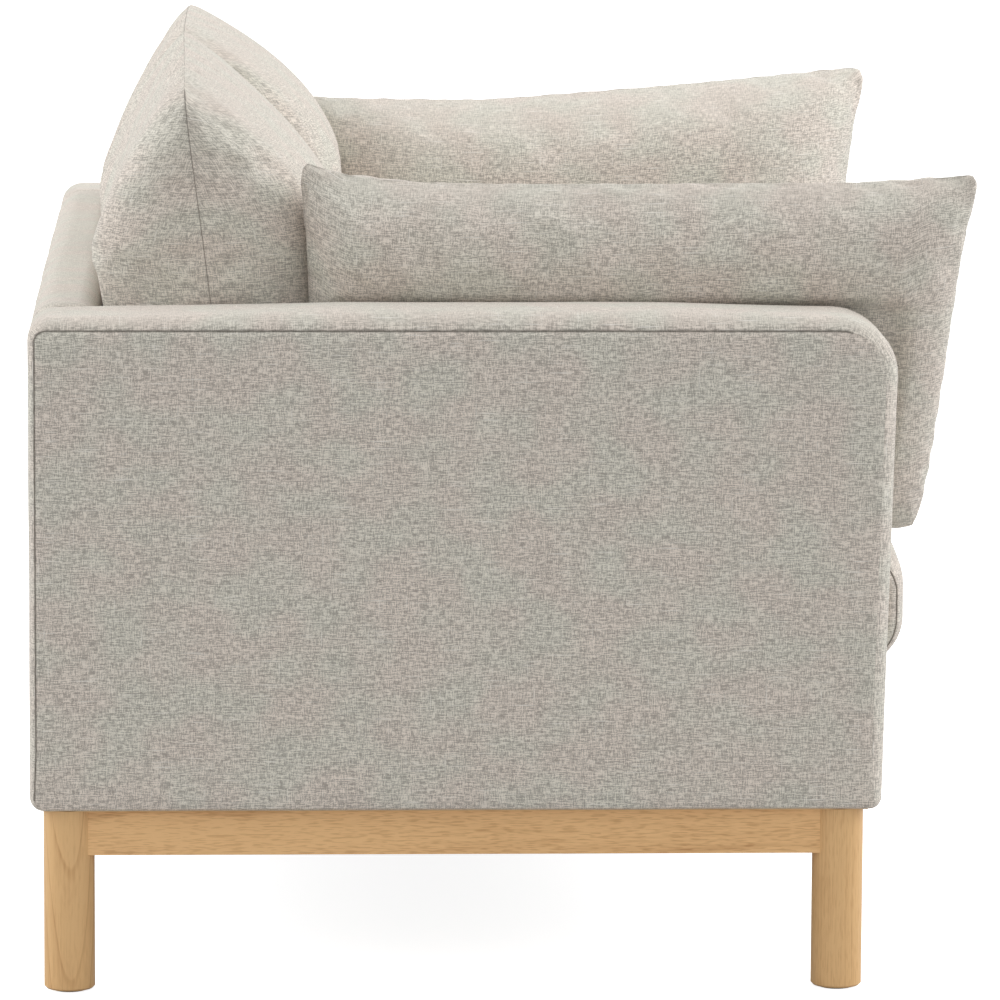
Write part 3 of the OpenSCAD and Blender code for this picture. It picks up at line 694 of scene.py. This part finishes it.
def material_table():
    """What finish needs, per kind of group and material: the bump's height, the values and the rest."""
    tint = bpy.context.scene.sofa_colours
    leg = {"Pale": tuple(tint.leg_wood), "Dark": tuple(tint.ring_wood)}
    rail = {"Pale": tuple(tint.rail_wood), "Dark": tuple(tint.ring_wood), "Ring width": 0.012, "Rings": 0.5}
    linen = {
        "Cloth": tuple(tint.linen), "Slub": tuple(tint.linen_thread), "Seam colour": tuple(tint.seam_shadow)
    }
    along_y, along_x = (math.pi / 2, 0.012, 0), (0.0, math.pi / 2, 0.012)
    weave = {
        "linen": (0.0006, linen, {"sheen": 0.12, "cloth_map": True}),
        "deck_cotton": (0.0004, {"Cloth": (0.50, 0.47, 0.41), "Slub": (0.6, 0.57, 0.5), "Slubs": 0.3}),
        "dust_felt": (0.0004, {"Cloth": (0.035, 0.035, 0.038), "Slub": (0.07, 0.07, 0.07), "Contrast": 2.0}),
        "strap": (0.0008, {"Cloth": (0.23, 0.21, 0.18), "Slub": (0.35, 0.3, 0.24), "Contrast": 2.2}),
        "zip_tape": (0.0003, {"Cloth": (0.42, 0.39, 0.34), "Slub": (0.5, 0.47, 0.42), "Contrast": 1.5}),
    }
    wood = {
        "leg_wood_flat": (
            0.00006, {**leg, "Ring width": 0.0075, "Rings": 1.0, "Pores": 0.3},
            {"place": (0.6082, -0.43, 0), "turn": (0.0, -0.060, 0.0), "coat": 0.08},
        ),
        "leg_wood_straight": (
            0.00006, {**leg, "Ring width": 0.0040, "Rings": 0.45, "Pores": 0.6},
            {"place": (0.9, 0.9, 0), "turn": (0.004, 0.0, 0.1), "coat": 0.08},
        ),
        "rail_wood_y": (0.00005, rail, {"place": (0.2, 0.25, 0.0), "turn": along_y, "coat": 0.06}),
        "rail_wood_x": (0.00005, rail, {"place": (0.2, 0.25, 0.0), "turn": along_x, "coat": 0.06}),
        "dowel_beech": (0.0001, {"Pale": (0.70, 0.48, 0.29), "Dark": (0.5, 0.3, 0.16), "Pores": 1.4}),
        "frame_pine": (
            0.0003,
            {"Pale": (0.76, 0.56, 0.32), "Dark": (0.52, 0.28, 0.11), "Ring width": 0.006, "Pores": 0.2},
            {"place": (0.3, 0.2, 0), "turn": (0, math.pi / 2 - 0.02, 0)},
        ),
        "frame_ply": (
            0.0003,
            {
                "Pale": (0.70, 0.51, 0.29), "Dark": (0.42, 0.24, 0.10),
                "Ring width": 0.0016, "Rings": 0.7, "Pores": 0.7,
            },
            {"place": (3.0, 0, 0), "turn": (math.pi / 2, 0, 0)},
        ),
    }
    cells = {
        "padding_foam": (0.0005, {"Pale": (0.90, 0.87, 0.78), "Pit": (0.66, 0.62, 0.50), "Size": 0.0016}),
        "cushion_foam": (0.0005, {"Pale": (0.92, 0.84, 0.55), "Pit": (0.68, 0.58, 0.32), "Size": 0.0018}),
        "fibre_filling": (
            0.002, {"Pale": (0.92, 0.92, 0.90), "Pit": (0.72, 0.72, 0.71), "Size": 0.006}, {"sheen": 0.3}
        ),
        "glide_nylon": (0.0001, {"Pale": (0.13, 0.125, 0.12), "Pit": (0.08, 0.078, 0.075), "Size": 0.0009}),
    }
    zinc = {"Bright": (0.72, 0.72, 0.70), "Dull": (0.52, 0.53, 0.52), "Polish": 0.28}
    wire = {"Bright": (0.30, 0.30, 0.31), "Dull": (0.16, 0.15, 0.15), "Polish": 0.35}
    nickel = {"Bright": (0.62, 0.61, 0.58), "Dull": (0.44, 0.43, 0.41), "Polish": 0.22}
    metal = {
        "zinc_plate": (0.00005, zinc, {"metallic": 1.0}),
        "spring_wire": (0.0001, wire, {"metallic": 1.0}),
        "zip_nickel": (0.00005, nickel, {"metallic": 1.0}),
    }
    return {"weave": weave, "wood": wood, "cells": cells, "metal": metal}


def material_of(name):
    """The finished material of that name, built once from the sofa's colours."""
    if name not in MATERIALS:
        for kind, members in material_table().items():
            if name in members:
                bump, values, *more = members[name]
                MATERIALS[name] = finish(name, kind, bump, values, **(more[0] if more else {}))
    return MATERIALS[name]


def dress(nodes, material, easing=0.0):
    """Gives CAD nodes their material, and eases their edges where easing is more than 0."""
    for name in nodes:
        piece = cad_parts[name]
        piece.data.materials.clear()
        piece.data.materials.append(material_of(material))
        if easing:
            weld = piece.modifiers.new("weld", "WELD")
            weld.merge_threshold = 0.00001
            bevel = piece.modifiers.new("easing", "BEVEL")
            bevel.width, bevel.segments = easing, 2
            bevel.limit_method, bevel.angle_limit = "ANGLE", math.radians(35)
            bevel.use_clamp_overlap = True
            piece.modifiers.new("normals", "WEIGHTED_NORMAL").keep_sharp = True


# Per ending of a filling's CAD node: the piece's own word, its material and its slot
FILLINGS = {
    "padding": ("foam", "padding_foam", "upholstery_foam"),
    "pad": ("foam", "padding_foam", "upholstery_foam"),
    "core": ("foam", "cushion_foam", "cushion_foam"),
    "fill": ("filling", "fibre_filling", "fibre_fill"),
}


def upholster(stem, side, filling, patches_of, gap, held_at=None):
    """Makes a linen cover and the filling in it, and lets the cover settle where held_at is given.

    patches_of(hollow) gives the surface moved in by hollow, which is 0 for the cover and gap for the
    filling. filling is the ending of the filling's CAD node. A cushion's cover is its case and rides on
    the cushion's body; the upholstery of the fixed parts rides on the frame.
    """
    loose = filling in ("core", "fill")
    tail = f"_{side}" if side else ""
    body = stem + tail if loose else "frame"
    cover = ("case" if loose else "upholstery", "linen", "linen")
    for ending, hollow, (word, material, slot) in (("cover", 0.0, cover), (filling, gap, FILLINGS[filling])):
        name, node = f"{stem}_{word}{tail}", f"{stem}_{ending}{tail}"
        piece = make_piece(name, patches_of(hollow), material_of(material), body, node)
        if held_at and ending == "cover":
            settle(piece, held_at)


# ---------------------------------------------------------------- operators


class SOFA_OT_arms(bpy.types.Operator):
    """Make the two padded arms and their foam"""

    bl_idname = "sofa.arms"
    bl_label = "Arms"

    def execute(self, context):
        shape = context.scene.sofa_shape
        rake = 0.013
        loop = rounded_loop(
            [
                (Y_FRONT + rake, BODY_Z, 0.011),
                (Y_BACK, BODY_Z, 0.014),
                (Y_BACK, ARM_TOP, 0.024),
                (Y_FRONT, ARM_TOP, 0.058),
            ]
        )
        points, normals, _ = loop
        top, front = np.clip(normals[:, 1], 0, 1), np.clip(-normals[:, 0], 0, 1)
        back, under = np.clip(normals[:, 0], 0, 1), np.clip(-normals[:, 1], 0, 1)
        edge_in = shape.arm_seam_drop * (top**2 + front**2) + 0.0055 * back**2 + 0.008 * under**2
        edge_in = edge_in * (0.55 + 0.45 * np.clip((points[:, 1] - BODY_Z) / 0.06, 0, 1))
        along = np.clip(np.minimum((Y_BACK - points[:, 0]) / 0.30, (points[:, 0] - Y_FRONT) / 0.22), 0, 1)
        crown = shape.arm_crown * top**2 * (1.5 * along - 0.5) + 0.002 * front**2
        shown = np.clip(1.6 * (top + back) - 3.0 * front**1.5 - 2.0 * under, 0, 1)
        for side, sign in SIDES.items():
            low, high = sorted((sign * X_IN, sign * X_OUT))

            def patches_of(hollow):
                return boxed_cover(
                    loop, low, high, edge_in, crown, 0.022, 0.0022, shown, shape.seam_depth, hollow, sign
                )

            upholster("arm", side, "padding", patches_of, shape.cover_gap)
        return {"FINISHED"}


class SOFA_OT_back(bpy.types.Operator):
    """Make the padded back and its foam"""

    bl_idname = "sofa.back"
    bl_label = "Back"

    def execute(self, context):
        shape = context.scene.sofa_shape
        loop = rounded_loop(
            [
                (Y_BACK - BACK_FOOT, BODY_Z, 0.004),
                (Y_BACK, BODY_Z, 0.012),
                (Y_BACK, ARM_TOP, 0.026),
                (Y_BACK - BACK_TOP, ARM_TOP, 0.020),
                (Y_BACK - BACK_FOOT, DECK_Z, 0.02),
            ]
        )
        points, normals, _ = loop
        top, back = np.clip(normals[:, 1], 0, 1), np.clip(normals[:, 0], 0, 1)
        edge_in = 0.004 + 0.003 * top
        crown = 0.0015 * back - 0.002 * top
        # A seam line across the rear face, drawn only as painted seam shade, with no fold
        across_rear = np.where(normals[:, 0] > 0.85, np.abs(points[:, 1] - (ARM_TOP - 0.034)), 1.0)
        no_seam = np.zeros(len(points))

        def patches_of(hollow):
            patches = boxed_cover(
                loop, FIXED_LOW, FIXED_HIGH, edge_in, crown, 0.012, 0.0, no_seam, 0.0, hollow, 0.4
            )
            strip, cloth, seam = patches[0]
            return [(strip, cloth, np.minimum(seam, across_rear[None, :])), *patches[1:]]

        upholster("back", "", "padding", patches_of, shape.cover_gap)
        return {"FINISHED"}


class SOFA_OT_border(bpy.types.Operator):
    """Make the padded border under the seat's front edge"""

    bl_idname = "sofa.border"
    bl_label = "Front border"

    def execute(self, context):
        front, back, high = BORDER_LOW[1], BORDER_HIGH[1], BORDER_HIGH[2]
        loop = rounded_loop(
            [(front, BODY_Z, 0.005), (back, BODY_Z, 0.002), (back, high, 0.002), (front, high, 0.007)],
            step=0.008,
        )
        points, normals, _ = loop
        edge_in = 0.002 * np.clip(-normals[:, 0], 0, 1)
        none = np.zeros(len(points))

        def patches_of(hollow):
            return boxed_cover(
                loop, FIXED_LOW, FIXED_HIGH, edge_in, none, 0.01, 0.0, none, 0.0, hollow, 1.1
            )

        upholster("front_border", "", "pad", patches_of, 0.0015)
        return {"FINISHED"}


class SOFA_OT_seat_cushions(bpy.types.Operator):
    """Make the two boxed seat cushions with rounded fronts"""

    bl_idname = "sofa.seat_cushions"
    bl_label = "Seat cushions"

    def execute(self, context):
        shape = context.scene.sofa_shape
        front, back = SEAT_LOW[1], SEAT_HIGH[1]
        low_z, high_z = SEAT_LOW[2], SEAT_TOP
        loop = rounded_loop(
            [(front, low_z, 0.048), (back, low_z, 0.014), (back, high_z, 0.022), (front, high_z, 0.048)]
        )
        points, normals, _ = loop
        top, ahead = np.clip(normals[:, 1], 0, 1), np.clip(-normals[:, 0], 0, 1)
        behind, under = np.clip(normals[:, 0], 0, 1), np.clip(-normals[:, 1], 0, 1)
        edge_in = 0.006 * top + 0.006 * ahead + 0.004 * behind + 0.003 * under
        depth = (points[:, 0] - front) / (back - front)
        arch = np.sin(np.pi * np.clip(depth, 0.06, 0.94)) ** 0.5
        crown = shape.seat_crown * top**1.5 * arch + 0.010 * ahead**1.5
        shown = np.ones(len(points))
        for side, sign in SIDES.items():
            low, high = sorted((sign * 0.0015, sign * (X_IN - 0.0015)))

            def patches_of(hollow):
                return boxed_cover(
                    loop, low, high, edge_in, crown, 0.045, 0.004, shown, shape.seam_depth, hollow, 2 + sign
                )

            upholster("seat_cushion", side, "core", patches_of, shape.cover_gap)
        return {"FINISHED"}


def back_cushion_patches(sign, fullness, hollow, fine):
    """A back cushion: knife-edged, with pointed upper corners.

    Along it the grid runs from one side seam to the other, and up it from the bottom seam to the top
    one. Each face stands off the seam by its fullness times a rise from each of the four seams. The
    rear face is then held to the slope of the back, and the front face to its own sides' taper, where
    an arm pillow leans on it.
    """
    u, v = cushion_grid(fine)
    up, outer, full = (v + 1) / 2, sign * u, sign > 0
    half, bottom = X_IN / 2 - 0.0015 - hollow, SEAT_TOP + 0.006 + hollow
    top = 0.885 + 0.006 * (1 - outer) + 0.008 * (1 - u**2) - 2.2 * hollow
    tip = 0.005 * (np.abs(u) * up) ** 26
    waist = 0.006 * np.abs(u) ** 6 * (1 - v**2)
    a = sign * X_IN / 2 + u * half - np.sign(u) * (waist + 1.4 * tip)
    b = bottom + up * (top - bottom) - tip
    below, above = up * (top - bottom), (1 - up) * (top - bottom)
    side_in = np.minimum((1 + u) * half, (1 - u) * half)
    nearest = np.minimum(side_in, np.minimum(below, above))

    # The seam leans back from the seat up to the top
    drop = np.clip(0.885 - b, 0, None)
    seam = Y_BACK - 0.152 + 0.002 * (1 - outer) - 0.044 * (1 - np.exp(-((drop / 0.235) ** 1.5)))

    # The front face is thick in its middle, and turns over towards the top in a long slope
    side_turn = 0.085 - 0.040 * np.clip((b - 0.68) / 0.17, 0, 1)
    top_turn = 0.225 - 0.055 * np.abs(u) ** 3
    thick = 0.103 + (fullness + 0.004 * full - 0.103) * (1 - np.abs(u) ** (3.0 if full else 2.2))
    front = thick * rise(side_in, side_turn) * rise(below, 0.09, 2.5, 0.6)
    front = front * rise(above, top_turn, 3.0 if full else 2.3, 1.0)
    rear = 0.125 * rise(side_in, 0.075) * rise(above, 0.26 - 0.11 * np.abs(u) ** 3, 1.35, 1.0)
    rear = rear * rise(below, 0.05, 2.5, 0.6)
    if not hollow:
        front = front + creases(a, b, side_in, above, nearest, (1.0, 2.0), 0.13, 0.0006)
        rear = rear + creases(a, b, side_in, above, nearest, (3.0, 4.0), 0.13, 0.0006)

    # The rear face lies on the back's slope, and bulges over the back's top by 6.5 mm above it
    slope = Y_BACK - BACK_FOOT - 0.0066 + BACK_SLOPE * (b - DECK_Z)
    over_top = Y_BACK - 0.0665 + 0.0065 * np.clip((b - ARM_TOP) / 0.03, 0, 1)
    wall = np.where(b > ARM_TOP + 0.03, Y_BACK - 0.060, np.minimum(slope, over_top))
    rear = soft_min(rear, np.maximum(wall - seam, 0.0), 0.006)

    # The front face keeps clear of the arm pillow, which leans on its sides
    taper = 0.262 + 0.5 * np.minimum(side_in, 0.09) + 0.012 - 2 * hollow
    widest = 0.284 + 0.020 * full + 0.035 * np.clip((b - SEAT_TOP) / 0.21, 0, 1) + 0.02 * rise(side_in, 0.2)
    front = soft_min(front, seam - (Y_BACK - np.minimum(taper, widest)), 0.01)
    return knife_panels(a, b, seam, stuffed(front, hollow), stuffed(rear, hollow), [0, 2, 1])


def against_back(at):
    """Which points of a back cushion rest against the back."""
    return (at[:, 1] > Y_BACK - 0.14) & (at[:, 2] < ARM_TOP + 0.03)


class SOFA_OT_back_cushions(bpy.types.Operator):
    """Make the two knife-edged back cushions"""

    bl_idname = "sofa.back_cushions"
    bl_label = "Back cushions"

    def execute(self, context):
        shape = context.scene.sofa_shape
        for side, sign in SIDES.items():

            def patches_of(hollow):
                return back_cushion_patches(sign, shape.back_fullness, hollow, 61 if hollow else 85)

            upholster("back_cushion", side, "fill", patches_of, shape.cover_gap, against_back)
        return {"FINISHED"}


def arm_pillow_patches(sign, fullness, hollow, fine):
    """An arm pillow: knife-edged, leaning outwards over the arm, with pointed upper corners.

    Along it the grid runs from the back end to the front end. The seam's surface leans from the seat up
    to the arm's top, and each face stands off it by its fullness times a rise from each seam. The outer
    face is held to the arm's inner side.
    """
    u, v = cushion_grid(fine)
    up, size, low = (v + 1) / 2, np.abs(u), 1 - (v + 1) / 2
    bottom = SEAT_TOP + 0.004 + hollow

    # The top seam dips between its ends; the right-hand one climbs evenly to its front end
    if sign < 0:
        front_climb = 0.0025 * size + 0.0145 * size**7
        rear_climb = 0.021 * size**5 + 0.010 * size**14
    else:
        front_climb = 0.0275 * np.clip(u + 0.35, 0, None) ** 1.15 - 0.006
        rear_climb = front_climb + 0.003 * size**5
    top = 0.785 + np.where(u > 0, front_climb, rear_climb) - 2.2 * hollow
    tip = 0.0095 * (size * up) ** 34
    corner = 0.005 * size**10 * low**10
    b = bottom + up * (top - bottom) - tip

    # Depths from the sofa's back: the front end leans forwards as it goes up
    ahead = 0.8930 - 0.004 * (sign > 0) + 0.12 * (b - 0.465) + 0.013 * up**12 - hollow
    behind = 0.2700 + 0.012 * low - 0.0085 * up**10 + hollow
    y = Y_BACK - (behind + (u + 1) / 2 * (ahead - behind) - (1.6 * corner + 1.3 * tip) * np.sign(u))
    b = b + corner * 1.2
    from_back, from_front = (u + 1) / 2 * (ahead - behind), (1 - u) / 2 * (ahead - behind)
    below, above = up * (top - bottom), (1 - up) * (top - bottom)
    nearest = np.minimum(np.minimum(from_back, from_front), np.minimum(below, above))

    # The outer face lies on the arm, and the inner face is full; lean is how far in the seam lies
    lean = 0.161 - 0.021 * size**3 + 0.040 * np.clip((0.803 - b) / 0.373, 0, 1)
    outer = 0.060 * rise(from_front, 0.10, 2, 0.55) * rise(from_back, 0.10, 2, 0.55)
    outer = outer * rise(above, 0.135, 2, 0.56) * rise(below, 0.06)
    inner = (fullness - 0.012 * (sign > 0)) * rise(from_front, 0.13, 2, 0.6) * rise(from_back, 0.14, 2, 0.7)
    inner = inner * rise(above, 0.100) * rise(below, 0.08)
    if not hollow:
        outer = outer + creases(y, b, from_front, above, nearest, (1.5, 0.5), 0.11, 0.0004)
        inner = inner + creases(y, b, from_front, above, nearest, (3.5, 2.5), 0.11, 0.0004)

    # The arm's inner side, its rounded top and its rounded front corner hold the outer face in
    arm_side = 0.1335 - 0.025 * rise(np.maximum(b - ARM_TOP + 0.005, 0), 0.040)
    arm_side = arm_side - 0.030 * np.clip((Y_FRONT - 0.004 - y) / 0.035, 0, 1)
    outer = soft_min(outer, np.maximum(lean - arm_side - 2 * hollow, 0), 0.012)
    outer, inner = stuffed(outer, hollow), stuffed(inner, hollow)
    front, rear = (outer, inner) if sign < 0 else (inner, outer)
    return knife_panels(y, b, sign * (X_OUT - lean), front, rear, [2, 0, 1], 2.2)


def against_arm(at):
    """Which points of an arm pillow rest against the arm."""
    return (np.abs(at[:, 0]) > X_OUT - 0.15) & (at[:, 2] < ARM_TOP + 0.01)


class SOFA_OT_arm_pillows(bpy.types.Operator):
    """Make the two arm pillows"""

    bl_idname = "sofa.arm_pillows"
    bl_label = "Arm pillows"

    def execute(self, context):
        shape = context.scene.sofa_shape
        for side, sign in SIDES.items():

            def patches_of(hollow):
                return arm_pillow_patches(sign, shape.pillow_fullness, hollow, 61 if hollow else 81)

            upholster("arm_pillow", side, "fill", patches_of, shape.cover_gap, against_arm)
        return {"FINISHED"}


class SOFA_OT_base(bpy.types.Operator):
    """Finish the legs and the base rails"""

    bl_idname = "sofa.base"
    bl_label = "Legs and rails"

    def execute(self, context):
        easing = context.scene.sofa_shape.rail_easing
        dress(["leg_back_left", "leg_front_right"], "leg_wood_flat")
        dress(["leg_front_left", "leg_back_right"], "leg_wood_straight")
        dress(["base_rail_left", "base_rail_right"], "rail_wood_y", easing)
        dress(["base_rail_front", "base_rail_back"], "rail_wood_x", easing)
        dress(["rail_dowels"], "dowel_beech")
        dress(["leg_hanger_bolts", "leg_tee_nuts"], "zinc_plate")
        dress(["leg_glides"], "glide_nylon")
        return {"FINISHED"}


class SOFA_OT_frames(bpy.types.Operator):
    """Finish the timber frames, the springs and the deck"""

    bl_idname = "sofa.frames"
    bl_label = "Frames and springs"

    def execute(self, context):
        dress([f"seat_rail_{part}" for part in ("front", "back", "left", "right")], "frame_pine")
        dress(["seat_centre_brace", "corner_blocks", "back_frame"], "frame_pine")
        dress(["arm_frame_left", "arm_frame_right"], "frame_ply")
        dress(["seat_springs"], "spring_wire")
        dress(["spring_clips", "frame_bolts"], "zinc_plate")
        dress(["back_webbing"], "strap")
        dress(["deck_pad"], "padding_foam")
        dress(["deck_cloth"], "deck_cotton")
        dress(["dust_cover"], "dust_felt")
        return {"FINISHED"}


class SOFA_OT_zips(bpy.types.Operator):
    """Finish the cushions' zips and sliders"""

    bl_idname = "sofa.zips"
    bl_label = "Zips"

    def execute(self, context):
        for side in SIDES:
            cushions = ("seat_cushion", "back_cushion", "arm_pillow")
            dress([f"{cushion}_zip_{side}" for cushion in cushions], "zip_tape")
            dress([f"{part}_zip_slider_{side}" for part in ("seat", "back", "pillow")], "zip_nickel")
        return {"FINISHED"}


def add_light(name, size, power, place, target):
    """A soft rectangular light that faces a target."""
    lamp = bpy.data.lights.new(name, "AREA")
    lamp.shape, lamp.size, lamp.size_y, lamp.energy = "RECTANGLE", size[0], size[1], power
    light = bpy.data.objects.new(name, lamp)
    light.location = place
    light.rotation_euler = (Vector(target) - Vector(place)).to_track_quat("-Z", "Y").to_euler()
    bpy.context.collection.objects.link(light)


class SOFA_OT_stage(bpy.types.Operator):
    """Set the floor, the light and the camera"""

    bl_idname = "sofa.stage"
    bl_label = "Stage"

    def execute(self, context):
        scene, stage = context.scene, context.scene.sofa_stage
        mesh = bpy.data.meshes.new("floor")
        reach = 40.0
        corners = [(-reach, -reach, 0), (reach, -reach, 0), (reach, reach, 0), (-reach, reach, 0)]
        mesh.from_pydata(corners, [], [(0, 1, 2, 3)])
        floor = bpy.data.objects.new("floor", mesh)
        scene.collection.objects.link(floor)
        pale = bpy.data.materials.new("pale_floor")
        pale.use_nodes = True
        shader = pale.node_tree.nodes["Principled BSDF"]
        paint = Wiring(pale.node_tree)
        seen = paint.node("ShaderNodeLightPath").outputs["Is Camera Ray"]
        unseen = (stage.floor_bounce, stage.floor_bounce, stage.floor_bounce, 1)
        own_colour = paint.mix(seen, unseen, (0.80, 0.80, 0.80, 1))
        own_light = paint.mix(seen, (0, 0, 0, 1), (0.87, 0.87, 0.87, 1))
        paint.join(own_colour, shader.inputs["Base Color"])
        paint.join(own_light, shader.inputs["Emission Color"])
        shader.inputs["Emission Strength"].default_value = 1.0
        shader.inputs["Roughness"].default_value = 0.9
        shader.inputs["Specular IOR Level"].default_value = 0.1
        floor.data.materials.append(pale)
        world = bpy.data.worlds.new("studio")
        world.use_nodes = True
        w = Wiring(world.node_tree)
        background = world.node_tree.nodes["Background"]
        seen = w.node("ShaderNodeLightPath").outputs["Is Camera Ray"]
        background.inputs["Color"].default_value = (1, 1, 1, 1)
        w.join(w.ramp(seen, 0.0, 1.0, stage.surround, 1.0), background.inputs["Strength"])
        scene.world = world
        add_light("overhead", (3.4, 2.6), stage.overhead, (0.4, 0.0, 3.1), (0, 0, 0.5))
        add_light("before", (2.6, 2.2), 1.15 * stage.sides, (0.3, -3.3, 2.2), (0, 0, 0.5))
        add_light("behind", (2.6, 2.2), 0.85 * stage.sides, (0.3, 3.3, 2.2), (0, 0, 0.5))
        camera = bpy.data.objects.new("camera", bpy.data.cameras.new("camera"))
        camera.data.lens, camera.data.sensor_width, camera.data.clip_end = stage.lens, 36.0, 200
        pitch, yaw, roll = (math.radians(angle) for angle in (stage.pitch, -stage.yaw, stage.roll))
        ahead = Vector((math.cos(pitch) * math.cos(yaw), math.cos(pitch) * math.sin(yaw), -math.sin(pitch)))
        right = ahead.cross(Vector((0, 0, 1))).normalized()
        up = right.cross(ahead)
        turned_right = right * math.cos(roll) + up * math.sin(roll)
        turned_up = up * math.cos(roll) - right * math.sin(roll)
        place = Vector((-X_OUT - stage.distance, Y_BACK - stage.forward, stage.height))
        rotation = Matrix((turned_right, turned_up, -ahead)).transposed().to_4x4()
        camera.matrix_world = Matrix.Translation(place) @ rotation
        scene.collection.objects.link(camera)
        scene.camera = camera
        scene.view_settings.view_transform = "Standard"
        return {"FINISHED"}


class SOFA_PT_panel(bpy.types.Panel):
    """Lists the steps that build the sofa"""

    bl_idname = "SOFA_PT_panel"
    bl_label = "Two-seat sofa"
    bl_space_type = "VIEW_3D"
    bl_region_type = "UI"
    bl_category = "Sofa"

    def draw(self, context):
        for step in STEPS:
            self.layout.operator(step.bl_idname)
        for group in (context.scene.sofa_shape, context.scene.sofa_colours, context.scene.sofa_stage):
            for key in group.__annotations__:
                self.layout.prop(group, key)


STEPS = (
    SOFA_OT_base, SOFA_OT_frames, SOFA_OT_arms, SOFA_OT_back, SOFA_OT_border, SOFA_OT_seat_cushions,
    SOFA_OT_back_cushions, SOFA_OT_arm_pillows, SOFA_OT_zips, SOFA_OT_stage,
)
CLASSES = (SofaShape, SofaColours, SofaStage, *STEPS, SOFA_PT_panel)


def register():
    """Registers the add-on's classes and its settings."""
    for cls in CLASSES:
        bpy.utils.register_class(cls)
    bpy.types.Scene.sofa_shape = PointerProperty(type=SofaShape)
    bpy.types.Scene.sofa_colours = PointerProperty(type=SofaColours)
    bpy.types.Scene.sofa_stage = PointerProperty(type=SofaStage)


def unregister():
    """Removes the settings and the classes."""
    del bpy.types.Scene.sofa_stage, bpy.types.Scene.sofa_colours, bpy.types.Scene.sofa_shape
    for cls in reversed(CLASSES):
        bpy.utils.unregister_class(cls)


def main():
    """Builds the sofa and its stage."""
    register()
    for step in STEPS:
        family, name = step.bl_idname.split(".")
        getattr(getattr(bpy.ops, family), name)()


if __name__ == "__main__":
    main()
